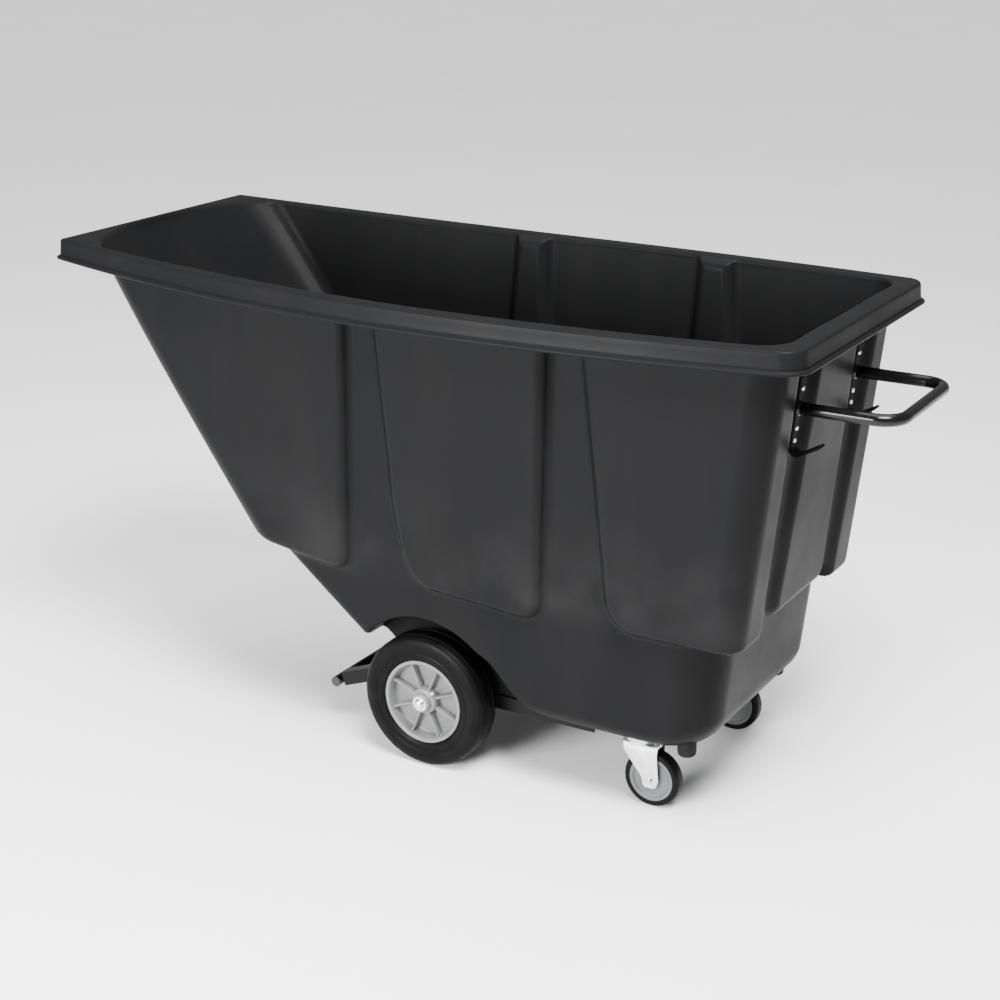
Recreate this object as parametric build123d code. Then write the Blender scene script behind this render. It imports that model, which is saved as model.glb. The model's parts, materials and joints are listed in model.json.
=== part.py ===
from build123d import *
import os
from math import atan2, cos, pi, radians, sin, tan

# Tilt truck: a plastic dump hopper on two large wheels and two swivel casters.
# Units are millimetres.  +X points to the push handle, -X to the pouring chute,
# +Z is up and the floor is z = 0.  All x stations below are measured from the
# main axle; EXPORT_SHIFT then centres the finished truck on the origin.

# ---- overall -------------------------------------------------------------
LIP_X = -946.0            # chute lip, skirt face
RIM_REAR_X = 852.0        # rear skirt face
HANDLE_X = 977.3          # centre line of the handle's cross bar
BEAD = 10.0               # how far the rolled bead stands out of the skirt
HANDLE_D = 25.4
EXPORT_SHIFT = -(LIP_X - BEAD + HANDLE_X + HANDLE_D / 2) / 2

# ---- rim -----------------------------------------------------------------
RIM_SAG_X = 50.0          # lowest station of the rim
RIM_LOW_Z = 1060.0
RIM_LIP_RISE = 28.0       # the chute lip stands this much higher
RIM_REAR_RISE = 6.0
RIM_MAX_HALF = 418.0      # half width where the sides bow out most
RIM_BOW_X = 20.0
RIM_BOW = 9.3e-5          # half width lost per mm squared from that station
RIM_PLATE = 7.0
SKIRT_DROP = 40.0
SKIRT_WALL = 7.0
BEAD_DROP = 46.0
BEAD_HEIGHT = 8.0
RIM_REAR_R = 66.0

# ---- hopper --------------------------------------------------------------
WALL = 6.0
FLOOR_Z = 168.0
BILGE_Z = 212.0           # top of the rounding between floor and sides
BASE_HALF = 300.0
BILGE_INSET = 46.0
STEP_Z = 425.0            # the raised panels start here
PANEL_Z = 475.0           # and have their full depth here
TOP_Z = 1110.0            # construction height, trimmed by the rim surface
RIM_TO_CHANNEL = 62.0     # skirt face in to the channel floor, at the rim
SIDE_PANEL = 27.0         # how far side panels stand out of the channels
REAR_PANEL = 17.0
CORNER = 70.0             # plan chamfer of the rear corners
CHUTE_CORNER = 45.0
CHANNELS_TOP = ((-142.0, -50.0), (335.0, 434.0))
CHANNELS_LOW = ((-159.0, 25.0), (322.0, 470.0))
FLANK = 14.0              # run of a channel's sloping sides
REAR_CHANNEL_TOP = (100.0, 210.0)
REAR_CHANNEL_LOW = (130.0, 195.0)
REAR_FLOOR_X = 626.0      # rear wall at the floor, above the rounding, at the step
REAR_BILGE_X = 668.0
REAR_STEP_X = 690.0
REAR_MID_X, REAR_MID_Z = 753.0, 552.0     # a point of the leaning rear panels
REAR_RAKE = 0.108
LOW_FRONT_X, LOW_FRONT_Z = -181.0, 294.0  # a point of the lower front slope
LOW_FRONT_RAKE = 1.2014
CHUTE_X, CHUTE_Z = -415.0, 455.0          # a point of the chute's corner edge
CHUTE_RAKE = 0.702
CHUTE_MID_X = -454.0                      # chute middle at the panels' start
CHUTE_MID_RAKE = 0.799

# ---- running gear --------------------------------------------------------
WHEEL_R = 152.4
WHEEL_Y = 277.0
TYRE_W = 76.0
HUB_R = 96.0
BOSS_R = 28.0
BOSS_LEN = 82.0
WELL_R = 195.0
WELL_Y = 222.0            # inner wall of the wheel well
AXLE_R = 9.525
AXLE_HALF = 328.0
BUSH_R = 15.0
GREASE_R = 2.6
GREASE_TURN = 45.0        # between two ribs, in degrees from the top
GREASE_LEAN = 0.35
RUNNING = 0.05            # radial clearance of a running fit
FIXED = 0.25              # radial clearance round a fixed shaft or bolt
CASTER_X = 487.0
CASTER_Y = 212.0
TRAIL = 32.0
CASTER_R = 63.5
CASTER_W = 32.0
CORE_R = 50.0
CORE_BORE = 9.2
CASTER_PLATE = (100.0, 78.0, 4.0)
CASTER_BOLT_DX, CASTER_BOLT_DY = 38.0, 25.0
CASTER_AXLE_R = 4.0
KINGPIN_R = 6.0
KINGPIN_HEAD_R = 11.0
BALL_RING_R = 22.5
BALL_R = 3.0
BALL_Z = 151.5
BALLS = 14
CROWN_Z = 138.5           # underside of the fork's crown
FORK_T = 3.0
FORK_INNER = 19.0         # half the space between the fork legs

# ---- frame ---------------------------------------------------------------
RAIL = 32.0
RAIL_T = 4.0
RAIL_END_X = 380.0
RAIL_BEND_X = -166.0
RAIL_SLOPE = 21.0
STOP_X = -290.0
STOP_Z = 102.0
STOP_R = 12.0
STOP_WALL = 2.5
STOP_HALF = 226.0

# ---- handle --------------------------------------------------------------
HANDLE_HALF = 155.0
HANDLE_Z = 902.0
HANDLE_BEND = 48.0
HANDLE_WALL = 2.4
STRAP_W = 34.0
STRAP_T = 5.0
STRAP_TOP_Z = 968.0
STRAP_LOW_Z = 826.0
HOOK_R = 15.0
HOOK_TIP = 42.0
STRAP_BOLTS = (944.0, 862.0, 836.0)

# ---- fasteners and feet ----------------------------------------------------
BOLT_R = 3.9
NUT_HOLE_R = 4.1
BOLT_HOLE_R = 4.3
GAP = 0.3                 # between the faces of neighbouring pieces
FRAME_BOLT_X = (62.0, 250.0)
FRAME_BOLT_Y = WELL_Y - 18.0
FOOT_X, FOOT_Y = 604.0, 236.0
FOOT_R = 20.0
FOOT_Z = 146.0            # underside of a foot

SIDES = {"left": 1.0, "right": -1.0}
NODES = {}


def node(name, *shapes):
    """Collect the solids of one named piece."""
    NODES[name] = [s for shape in shapes for s in shape.solids()]


def mirrored(shape, side):
    """A shape drawn for the +Y side, on either side."""
    return shape if side > 0 else mirror(shape, about=Plane.XZ)


def rod(radius, start, end, hole=0.0):
    """A round bar, or a tube, from one point to another."""
    a, b = Vector(*start), Vector(*end)
    plane = Plane(origin=a, z_dir=b - a)
    profile = Circle(radius)
    if hole:
        profile = profile - Circle(hole)
    return extrude(plane * profile, amount=(b - a).length)


def hexagon(across, height, start, direction):
    plane = Plane(origin=start, z_dir=direction)
    return extrude(plane * RegularPolygon(across / 2 / cos(pi / 6), 6), amount=height)


def turned(points, centre, axis):
    """A solid of revolution from (radius, position along the axis) points."""
    face = make_face(Plane.XZ * Polyline(*points, close=True))
    solid = revolve(face, axis=Axis.Z)
    return Plane(origin=centre, z_dir=axis) * solid


# ---- surfaces that everything else sits on --------------------------------
def rim_half(x):
    return RIM_MAX_HALF - RIM_BOW * (x - RIM_BOW_X) ** 2


def rim_top(x):
    if x < RIM_SAG_X:
        return RIM_LOW_Z + RIM_LIP_RISE * ((x - RIM_SAG_X) / (LIP_X - RIM_SAG_X)) ** 2
    return RIM_LOW_Z + RIM_REAR_RISE * ((x - RIM_SAG_X) / (RIM_REAR_X - RIM_SAG_X)) ** 2


def channel_half(x, z):
    """Half width of the hopper at its channels."""
    share = (z - BILGE_Z) / (RIM_LOW_Z - BILGE_Z)
    return BASE_HALF + (rim_half(x) - RIM_TO_CHANNEL - BASE_HALF) * share


def rear_panel_x(z):
    return REAR_MID_X + (z - REAR_MID_Z) * REAR_RAKE


def rear_channel_x(z):
    return rear_panel_x(z) - REAR_PANEL


def lower_front_x(z):
    return LOW_FRONT_X - (z - LOW_FRONT_Z) * LOW_FRONT_RAKE


def chute_corner_x(z):
    return CHUTE_X - (z - CHUTE_Z) * CHUTE_RAKE


def chute_middle_x(z):
    return CHUTE_MID_X - (z - PANEL_Z) * CHUTE_MID_RAKE


# ---- hopper ----------------------------------------------------------------
def blend(low, top, z):
    """A pair of stations that moves evenly up the panels."""
    share = (max(z, PANEL_Z) - PANEL_Z) / (TOP_Z - PANEL_Z)
    return [a + (b - a) * share for a, b in zip(low, top)]


def side_channels(z, front):
    """Where the side channels start and end, kept behind the sloping front."""
    pairs = []
    for low, top in zip(CHANNELS_LOW, CHANNELS_TOP):
        a, b = blend(low, top, z)
        a = max(a, front + CHUTE_CORNER + 20)
        pairs.append((a, max(b, a + 60)))
    return pairs


def half_outline(level, inset):
    """Plan points of one half of the hopper, from the chute round to the rear.

    `inset` moves every wall inwards, which makes the inside surface.
    """
    z, front, middle, rear, shrink, panel, rear_panel = level
    front += inset
    middle += inset
    rear -= inset

    def side(x, raised):
        return channel_half(x, z) + raised - shrink - inset

    corner_y = side(front, panel) - CHUTE_CORNER
    points = []
    for share in (0.0, 0.36, 0.7, 1.0):
        points.append((middle + (front - middle) * share ** 2, corner_y * share))
    points.append((front + CHUTE_CORNER, side(front + CHUTE_CORNER, panel)))
    for a, b in side_channels(z, front):
        points.append((a - inset, side(a, panel)))
        points.append((a - inset + FLANK, side(a, 0.0)))
        points.append((b + inset - FLANK, side(b, 0.0)))
        points.append((b + inset, side(b, panel)))
    points.append((rear - CORNER, side(rear, panel)))
    points.append((rear, side(rear, panel) - CORNER))
    floor = rear - rear_panel
    a, b = blend(REAR_CHANNEL_LOW, REAR_CHANNEL_TOP, z)
    b = min(b, points[-1][1] - inset - 5)
    a = min(a, b - 50)
    points.append((rear, b + inset))
    points.append((floor, b + inset - FLANK))
    points.append((floor, a - inset + FLANK))
    points.append((rear, a - inset))
    return points


def outline(level, inset):
    half = half_outline(level, inset)
    other = [(x, -y) for x, y in reversed(half) if y > 0]
    return Polyline(*[(x, y, level[0]) for x, y in half + other], close=True)


def hopper_body(inset, floor_z, top_z):
    """The solid hopper: inset 0 is the outside, inset WALL is the hollow."""
    low = [
        (floor_z, lower_front_x(FLOOR_Z) + BILGE_INSET, REAR_FLOOR_X, BILGE_INSET),
        (BILGE_Z, lower_front_x(BILGE_Z), REAR_BILGE_X, 0.0),
        (STEP_Z, lower_front_x(STEP_Z), REAR_STEP_X, 0.0),
    ]
    levels = [(z, front, front - 2.0, rear, shrink, 0.0, 0.0) for z, front, rear, shrink in low]
    for z in (PANEL_Z, top_z):
        sizes = (chute_corner_x(z), chute_middle_x(z), rear_panel_x(z))
        levels.append((z, *sizes, 0.0, SIDE_PANEL, REAR_PANEL))
    body = None
    for pair in zip(levels, levels[1:]):
        slab = loft([make_face(outline(level, inset)) for level in pair], ruled=True)
        body = slab if body is None else body + slab
    return body


def wheel_wells(radius, inner_y):
    wells = []
    for side in SIDES.values():
        start = (0, side * inner_y, WHEEL_R)
        wells.append(rod(radius, start, (0, side * 460, WHEEL_R)))
    return wells


def rim_prism(grow):
    """A tall block with the rim's plan outline, grown outwards."""
    x0, x1 = LIP_X - grow, RIM_REAR_X + grow
    xm = (x0 + x1) / 2
    front, mid, rear = (rim_half(x) + grow for x in (LIP_X, xm, RIM_REAR_X))
    edges = [
        Line((x0, -front), (x0, front)),
        ThreePointArc((x0, front), (xm, mid), (x1, rear)),
        Line((x1, rear), (x1, -rear)),
        ThreePointArc((x1, -rear), (xm, -mid), (x0, -front)),
    ]
    face = make_face(edges)
    corners = [v for v in face.vertices() if v.X > 0]
    face = fillet(corners, radius=RIM_REAR_R + grow)
    return extrude(Plane.XY.offset(950) * face, amount=200)


def rim_layer(low, high):
    """The space between two copies of the curved rim surface."""
    stations = (LIP_X - 30, (LIP_X + RIM_SAG_X) / 2, RIM_SAG_X)
    stations += ((RIM_SAG_X + RIM_REAR_X) / 2, RIM_REAR_X + 30)
    edges = []
    for drop in (low, high):
        p = [(x, rim_top(x) + drop) for x in stations]
        edges += [ThreePointArc(p[0], p[1], p[2]), ThreePointArc(p[2], p[3], p[4])]
    for x in (stations[0], stations[-1]):
        edges.append(Line((x, rim_top(x) + low), (x, rim_top(x) + high)))
    face = Plane.XZ * make_face(edges)
    return extrude(face, amount=500, both=True)


def tub_shell():
    outside = hopper_body(0.0, FLOOR_Z, TOP_Z)
    hollow = hopper_body(WALL, FLOOR_Z + WALL, TOP_Z + 1)
    for well in wheel_wells(WELL_R, WELL_Y):
        outside -= well
    for well in wheel_wells(WELL_R + WALL, WELL_Y - WALL):
        hollow -= well
    outside = outside & rim_layer(-960, 0)
    plate = rim_prism(0) & rim_layer(-RIM_PLATE, 0)
    skirt = (rim_prism(0) - rim_prism(-SKIRT_WALL)) & rim_layer(-SKIRT_DROP, 0)
    roll = (rim_prism(BEAD) - rim_prism(-SKIRT_WALL))
    roll = roll & rim_layer(-BEAD_DROP, -BEAD_DROP + BEAD_HEIGHT)
    shell = (outside + plate + skirt + roll) - hollow
    for x, y in FLOOR_BOLTS + CASTER_BOLTS:
        shell -= rod(BOLT_HOLE_R, (x, y, FLOOR_Z - 5), (x, y, FLOOR_Z + 20))
    for z in STRAP_BOLTS:
        for side in SIDES.values():
            shell -= wall_hole(z, side * HANDLE_HALF)
    return shell


# ---- handle and its straps ---------------------------------------------------
REAR_TILT = atan2(REAR_RAKE, 1.0)


def wall_point(z, out):
    """A point `out` mm off the rear channel floor, square to it, level z."""
    return rear_channel_x(z) + out * cos(REAR_TILT), z - out * sin(REAR_TILT)


def wall_hole(z, y):
    """Bolt hole square to the rear wall, as a solid to subtract."""
    x0, z0 = wall_point(z, -20.0)
    x1, z1 = wall_point(z, 30.0)
    return rod(BOLT_HOLE_R, (x0, y, z0), (x1, y, z1))


def strap(y):
    """Flat bar on the channel floor whose lower end curls out into a hook."""
    up = Vector(sin(REAR_TILT), cos(REAR_TILT))
    out = Vector(cos(REAR_TILT), -sin(REAR_TILT))
    middle = STRAP_T / 2 + 0.15
    top = Vector(*wall_point(STRAP_TOP_Z, middle))
    low = Vector(*wall_point(STRAP_LOW_Z, middle))
    bend_centre = low + out * HOOK_R
    mid_arc = bend_centre - up * HOOK_R
    turn = radians(40)
    arc_end = bend_centre + out * HOOK_R * cos(turn) - up * HOOK_R * sin(turn)
    away = out * sin(turn) + up * cos(turn)
    tip = arc_end + away * HOOK_TIP
    path = [Line(top, low), ThreePointArc(low, mid_arc, arc_end), Line(arc_end, tip)]
    band = trace(path, line_width=STRAP_T)
    plane = Plane((0, y + STRAP_W / 2, 0), x_dir=(1, 0, 0), z_dir=(0, -1, 0))
    bar = extrude(plane * band, amount=STRAP_W)
    for z in STRAP_BOLTS:
        bar -= wall_hole(z, y)
    return bar


def handle():
    """U-shaped tube, open ends against the straps."""
    start_x = wall_point(HANDLE_Z, STRAP_T + 0.6)[0]
    path = FilletPolyline(
        (start_x, HANDLE_HALF, HANDLE_Z), (HANDLE_X, HANDLE_HALF, HANDLE_Z),
        (HANDLE_X, -HANDLE_HALF, HANDLE_Z), (start_x, -HANDLE_HALF, HANDLE_Z),
        radius=HANDLE_BEND)
    profile = Circle(HANDLE_D / 2) - Circle(HANDLE_D / 2 - HANDLE_WALL)
    tube = sweep(Plane(origin=path @ 0, z_dir=path % 0) * profile, path=path)
    end_face = Vector(*wall_point(HANDLE_Z, STRAP_T + 0.3))
    cutter = Plane(origin=(end_face.X, 0, end_face.Y),
                   z_dir=(-cos(REAR_TILT), 0, sin(REAR_TILT)))
    return tube - extrude(cutter * Rectangle(400, 500), amount=40)


def strap_bolt(z, y):
    """Round-head bolt outside the strap, shank through the wall."""
    x0, z0 = wall_point(z, STRAP_T + 0.3)
    x1, z1 = wall_point(z, -WALL - 9)
    direction = (cos(REAR_TILT), 0, -sin(REAR_TILT))
    shank = rod(BOLT_R, (x1, y, z1), (x0, y, z0))
    head = turned([(0, 0), (8.5, 0), (8.0, 2.6), (5.5, 4.6), (0, 5.2)], (x0, y, z0), direction)
    return head + shank


def strap_nut(z, y):
    x0, z0 = wall_point(z, -WALL - 0.6)
    inward = (-cos(REAR_TILT), 0, sin(REAR_TILT))
    return hexagon(14, 6.5, (x0, y, z0), inward) - wall_hole(z, y)


# ---- frame -----------------------------------------------------------------------
def rail():
    """Bent angle rail on the +Y side, from the stop bar to behind the axle."""
    slope = radians(RAIL_SLOPE)
    run = (RAIL_BEND_X - STOP_X) / cos(slope)
    top = FLOOR_Z - 0.3

    def strip(depth, width, drop):
        shift = tan(slope / 2) * drop
        bend = Vector(RAIL_BEND_X + shift, top - drop)
        front = bend - Vector(cos(slope), sin(slope)) * (run - STOP_R + shift)
        down = Vector(sin(slope), -cos(slope)) * depth
        turn = tan(slope / 2) * depth
        points = [front, bend, Vector(RAIL_END_X, top - drop),
                  Vector(RAIL_END_X, top - drop - depth),
                  bend + Vector(turn, -depth), front + down]
        face = make_face(Polyline(*points, close=True))
        plane = Plane((0, WELL_Y, 0), x_dir=(1, 0, 0), z_dir=(0, -1, 0))
        return extrude(plane * face, amount=width)

    bar = strip(RAIL_T, RAIL, 0.0) + strip(RAIL, RAIL_T, 0.0)
    bar -= rod(AXLE_R + FIXED, (0, 190, WHEEL_R), (0, 240, WHEEL_R))
    for x, y in FLOOR_BOLTS:
        bar -= rod(BOLT_HOLE_R, (x, y, 150), (x, y, 175))
    stop = rod(STOP_R + 0.3, (STOP_X, 150, STOP_Z), (STOP_X, 260, STOP_Z))
    return bar - stop


def axle_bracket():
    """Plate inside the rail that carries the axle and bolts up to the floor."""
    inner = WELL_Y - RAIL_T - 0.2
    plate = Pos(0, inner - 3, 147) * Box(84, 6, 32)
    return plate - rod(AXLE_R + FIXED, (0, 190, WHEEL_R), (0, 240, WHEEL_R))


def crossmember():
    reach = WELL_Y - RAIL_T - 1
    return Pos(RAIL_END_X - 32, 0, FLOOR_Z - RAIL_T - 3.0) * Box(44, 2 * reach, 4)


FLOOR_BOLTS = [(x, side * FRAME_BOLT_Y) for x in FRAME_BOLT_X for side in (1, -1)]
CASTER_BOLTS = [(CASTER_X + dx, side * CASTER_Y + dy)
                for dx in (-CASTER_BOLT_DX, CASTER_BOLT_DX)
                for dy in (-CASTER_BOLT_DY, CASTER_BOLT_DY) for side in (1, -1)]


def floor_bolt(x, y, head_z):
    """Hex bolt from below, long enough to reach its nut above the floor."""
    head = hexagon(13, 5, (x, y, head_z - 5), (0, 0, 1))
    return head + rod(BOLT_R, (x, y, head_z - 1), (x, y, FLOOR_Z + WALL + 12))


def floor_nut(x, y, base_z):
    washer = rod(8.5, (x, y, base_z), (x, y, base_z + 1.6))
    nut = hexagon(13, 6.5, (x, y, base_z + 1.6), (0, 0, 1))
    return (washer + nut) - rod(NUT_HOLE_R, (x, y, base_z - 5), (x, y, base_z + 20))


# ---- main wheels -------------------------------------------------------------------
def tyre(y):
    half = TYRE_W / 2
    top = WHEEL_R
    shoulder = 9.0
    groove = 3.0
    points = [
        (HUB_R + 0.1, -half + 6), (HUB_R + 8, -half + 1.5), (HUB_R + 22, -half),
        (top - 20, -half), (top - 5, -half + 3.5), (top - 1, -half + shoulder)]
    for centre in (-15.0, 15.0):
        points += [(top, centre - groove - 1), (top - 5, centre - groove),
                   (top - 5, centre + groove), (top, centre + groove + 1)]
    points += [
        (top - 1, half - shoulder), (top - 5, half - 3.5), (top - 20, half),
        (HUB_R + 22, half), (HUB_R + 8, half - 1.5), (HUB_R + 0.1, half - 6)]
    return turned(points, (0, y, WHEEL_R), (0, 1, 0))


def hub(side):
    """Moulded hub: barrel, dished web, eight ribs a side and a stepped boss."""
    barrel = HUB_R - 8
    points = [
        (BUSH_R + FIXED, -BOSS_LEN / 2), (21, -BOSS_LEN / 2), (22, -BOSS_LEN / 2 + 9),
        (BOSS_R, -BOSS_LEN / 2 + 12), (BOSS_R + 2, -5), (barrel, -5), (barrel - 2, -30),
        (HUB_R - 5, -33), (HUB_R, -33), (HUB_R, 33), (HUB_R - 5, 33), (barrel - 2, 30),
        (barrel, 5), (BOSS_R + 2, 5), (BOSS_R, BOSS_LEN / 2 - 12),
        (22, BOSS_LEN / 2 - 9), (21, BOSS_LEN / 2), (BUSH_R + FIXED, BOSS_LEN / 2)]
    body = turned(points, (0, 0, 0), (0, 0, 1))
    rib_len = barrel - BOSS_R + 4
    for k in range(8):
        rib = Pos(BOSS_R - 2 + rib_len / 2, 0, 0) * Box(rib_len, 4.5, 44)
        body += Rot(0, 0, 45 * k + 22.5) * rib
    body = Plane(origin=(0, side * WHEEL_Y, WHEEL_R), z_dir=(0, 1, 0)) * body
    return body - grease_line(side, -3, 20, GREASE_R + FIXED)


def bushes(y):
    """Two plain bushes, one in each end of the hub's boss."""
    pair = []
    for end in (-1, 1):
        a = y + end * (BOSS_LEN / 2 - 0.4)
        b = y + end * (BOSS_LEN / 2 - 26)
        pair.append(rod(BUSH_R, (0, a, WHEEL_R), (0, b, WHEEL_R), AXLE_R + RUNNING))
    return pair


def grease_line(side, start, end, radius):
    """A bar on the grease fitting's axis, which leans towards the outer face."""
    turn = radians(GREASE_TURN)
    lean = Vector(sin(turn), side * GREASE_LEAN, cos(turn)).normalized()
    root = BOSS_R - 4
    base = Vector(root * sin(turn), side * (WHEEL_Y + BOSS_LEN / 2 - 16), WHEEL_R + root * cos(turn))
    return rod(radius, base + lean * start, base + lean * end)


def grease_fitting(side):
    """Nipple screwed into the boss: shank, collar and tip."""
    shank = grease_line(side, 0, 7, GREASE_R)
    return shank + grease_line(side, 6, 12, 4.5) + grease_line(side, 11, 17, GREASE_R)


# ---- casters -------------------------------------------------------------------------
def caster_plate():
    """Top plate with the upper ball race pressed into it."""
    top = FLOOR_Z - GAP
    length, width, thick = CASTER_PLATE
    plate = extrude(Pos(0, 0, top - thick) * RectangleRounded(length, width, 8), amount=thick)
    bore = KINGPIN_R + GAP
    roof = BALL_Z + BALL_R + GAP
    skirt_r = BALL_RING_R + BALL_R + 3
    cup = turned([(bore, roof), (skirt_r, roof), (skirt_r, roof - 7.3), (skirt_r + 3, roof - 7.3),
                  (skirt_r + 4.5, roof + 1), (skirt_r + 4.5, top - thick), (bore, top - thick)],
                 (0, 0, 0), (0, 0, 1))
    body = plate + cup
    body -= rod(bore, (0, 0, 140), (0, 0, 180))
    body -= rod(KINGPIN_HEAD_R + 0.4, (0, 0, top - 3.2), (0, 0, top + 1))
    for x in (-CASTER_BOLT_DX, CASTER_BOLT_DX):
        for y in (-CASTER_BOLT_DY, CASTER_BOLT_DY):
            body -= rod(BOLT_HOLE_R, (x, y, 150), (x, y, 180))
    return body


def kingpin():
    """Swivel bolt: flush head in the plate, nut under the crown."""
    top = FLOOR_Z - 1.0
    seat = top - 2.2
    nut_z = CROWN_Z - 9.9
    head = turned([(0, seat), (KINGPIN_HEAD_R, seat), (KINGPIN_HEAD_R - 1, top), (0, top)],
                  (0, 0, 0), (0, 0, 1))
    nut = hexagon(18, 7, (0, 0, nut_z), (0, 0, 1))
    return rod(KINGPIN_R, (0, 0, nut_z + 1), (0, 0, seat + 0.2)) + head + nut


def fork():
    """Pressed yoke: dished crown, lower race and two tapering legs."""
    width = 2 * (FORK_INNER + FORK_T) + 1
    crown = extrude(Pos(7, 0, CROWN_Z) * RectangleRounded(84, width, 12), amount=3.5)
    race_top = BALL_Z - BALL_R - GAP
    race = turned([(10, CROWN_Z + 2.5), (26, CROWN_Z + 2.5), (26, race_top), (10, race_top)],
                  (0, 0, 0), (0, 0, 1))
    body = crown + race
    axle_z = CASTER_R
    leg_r = 20.0
    front = [(-33.0, 142.0), (-34.0, 122.0), (TRAIL - leg_r, axle_z + 4.0)]
    rear = [(TRAIL + leg_r, axle_z), (48.0, 142.0)]
    outline_edges = [Polyline(*front), ThreePointArc(front[-1], (TRAIL, axle_z - leg_r), rear[0]),
                     Polyline(*rear), Line(rear[-1], front[0])]
    leg_face = make_face(outline_edges)
    for y in (-FORK_INNER, FORK_INNER + FORK_T):
        plane = Plane((0, y, 0), x_dir=(1, 0, 0), z_dir=(0, -1, 0))
        body += extrude(plane * leg_face, amount=FORK_T)
    body -= rod(KINGPIN_R + GAP, (0, 0, 130), (0, 0, 160))
    body -= rod(CASTER_AXLE_R + FIXED, (TRAIL, -30, axle_z), (TRAIL, 30, axle_z))
    return body


def race_balls():
    """Ring of balls that carries the swivel."""
    balls = []
    for k in range(BALLS):
        turn = 2 * pi * k / BALLS
        spot = Pos(BALL_RING_R * cos(turn), BALL_RING_R * sin(turn), BALL_Z)
        balls.append(spot * Sphere(BALL_R))
    return balls


def caster_bolt():
    face = FORK_INNER + FORK_T + GAP
    head = hexagon(12, 5, (TRAIL, -face - 5, CASTER_R), (0, 1, 0))
    return head + rod(CASTER_AXLE_R, (TRAIL, -face - 1, CASTER_R), (TRAIL, face + 8, CASTER_R))


def caster_nut():
    face = FORK_INNER + FORK_T + GAP
    nut = hexagon(12, 6.5, (TRAIL, face, CASTER_R), (0, 1, 0))
    return nut - rod(CASTER_AXLE_R + 0.15, (TRAIL, 10, CASTER_R), (TRAIL, 40, CASTER_R))


def caster_core():
    half = CASTER_W / 2
    points = [
        (CORE_BORE, -half), (15, -half), (16, -half + 4), (40, -half + 5), (43, -half + 1),
        (CORE_R, -half + 1), (CORE_R, half - 1), (43, half - 1), (40, half - 5),
        (16, half - 4), (15, half), (CORE_BORE, half)]
    return turned(points, (TRAIL, 0, CASTER_R), (0, 1, 0))


def caster_bush():
    half = CASTER_W / 2 + 1.2
    start, end = (TRAIL, -half, CASTER_R), (TRAIL, half, CASTER_R)
    return rod(CORE_BORE - 0.2, start, end, CASTER_AXLE_R + RUNNING)


def caster_tread():
    half = CASTER_W / 2
    points = [
        (CORE_R + 0.1, -half + 0.5), (CASTER_R - 6, -half), (CASTER_R - 1.5, -half + 2.5),
        (CASTER_R, -half + 7), (CASTER_R, half - 7), (CASTER_R - 1.5, half - 2.5),
        (CASTER_R - 6, half), (CORE_R + 0.1, half - 0.5)]
    return turned(points, (TRAIL, 0, CASTER_R), (0, 1, 0))


def foot(y):
    """Rubber bumper under the rear of the tub."""
    top = FLOOR_Z - GAP
    points = [(0, FOOT_Z), (FOOT_R - 6, FOOT_Z), (FOOT_R - 1.5, FOOT_Z + 4),
              (FOOT_R, FOOT_Z + 10), (FOOT_R, top), (0, top)]
    return turned(points, (FOOT_X, y, 0), (0, 0, 1))


# ---- build the nodes ---------------------------------------------------------------------
node("tub_shell", tub_shell())
node("handle_tube", handle())
node("stop_bar", rod(STOP_R, (STOP_X, -STOP_HALF, STOP_Z), (STOP_X, STOP_HALF, STOP_Z),
                     STOP_R - STOP_WALL))
node("axle", rod(AXLE_R, (0, -AXLE_HALF, WHEEL_R), (0, AXLE_HALF, WHEEL_R)))
node("frame_crossmember", crossmember())
node("frame_bolts", *[floor_bolt(x, y, FLOOR_Z - RAIL_T - 0.6) for x, y in FLOOR_BOLTS])
node("frame_nuts", *[floor_nut(x, y, FLOOR_Z + WALL + 0.2) for x, y in FLOOR_BOLTS])
node("caster_mount_bolts", *[floor_bolt(x, y, FLOOR_Z - 4.6) for x, y in CASTER_BOLTS])
node("caster_mount_nuts", *[floor_nut(x, y, FLOOR_Z + WALL + 0.2) for x, y in CASTER_BOLTS])
node("rear_feet", foot(FOOT_Y), foot(-FOOT_Y))
node("handle_bolts", *[strap_bolt(z, s * HANDLE_HALF) for z in STRAP_BOLTS for s in (1, -1)])
node("handle_nuts", *[strap_nut(z, s * HANDLE_HALF) for z in STRAP_BOLTS for s in (1, -1)])

spacers, washers, caps, plugs = [], [], [], []
for side in (1, -1):
    boss_in = side * (WHEEL_Y - BOSS_LEN / 2 - 0.5)
    boss_out = side * (WHEEL_Y + BOSS_LEN / 2 + 0.5)
    bore = AXLE_R + FIXED
    spacers.append(rod(15, (0, side * (WELL_Y + 0.3), WHEEL_R), (0, boss_in, WHEEL_R), bore))
    washers.append(rod(17, (0, boss_out, WHEEL_R), (0, boss_out + side * 2.5, WHEEL_R), bore))
    cap_start = boss_out + side * 2.8
    cap = rod(12.5, (0, cap_start, WHEEL_R), (0, cap_start + side * 9, WHEEL_R))
    axle_end = side * (AXLE_HALF + GAP)
    caps.append(cap - rod(bore, (0, cap_start - side, WHEEL_R), (0, axle_end, WHEEL_R)))
    tube_end = side * STOP_HALF
    plug = rod(STOP_R - STOP_WALL - 0.1, (STOP_X, side * 214, STOP_Z), (STOP_X, tube_end, STOP_Z))
    flange = rod(STOP_R, (STOP_X, tube_end, STOP_Z), (STOP_X, tube_end + side * 2.5, STOP_Z))
    plugs.append(plug + flange)
node("axle_spacers", *spacers)
node("axle_washers", *washers)
node("axle_caps", *caps)
node("stop_bar_plugs", *plugs)

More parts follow.
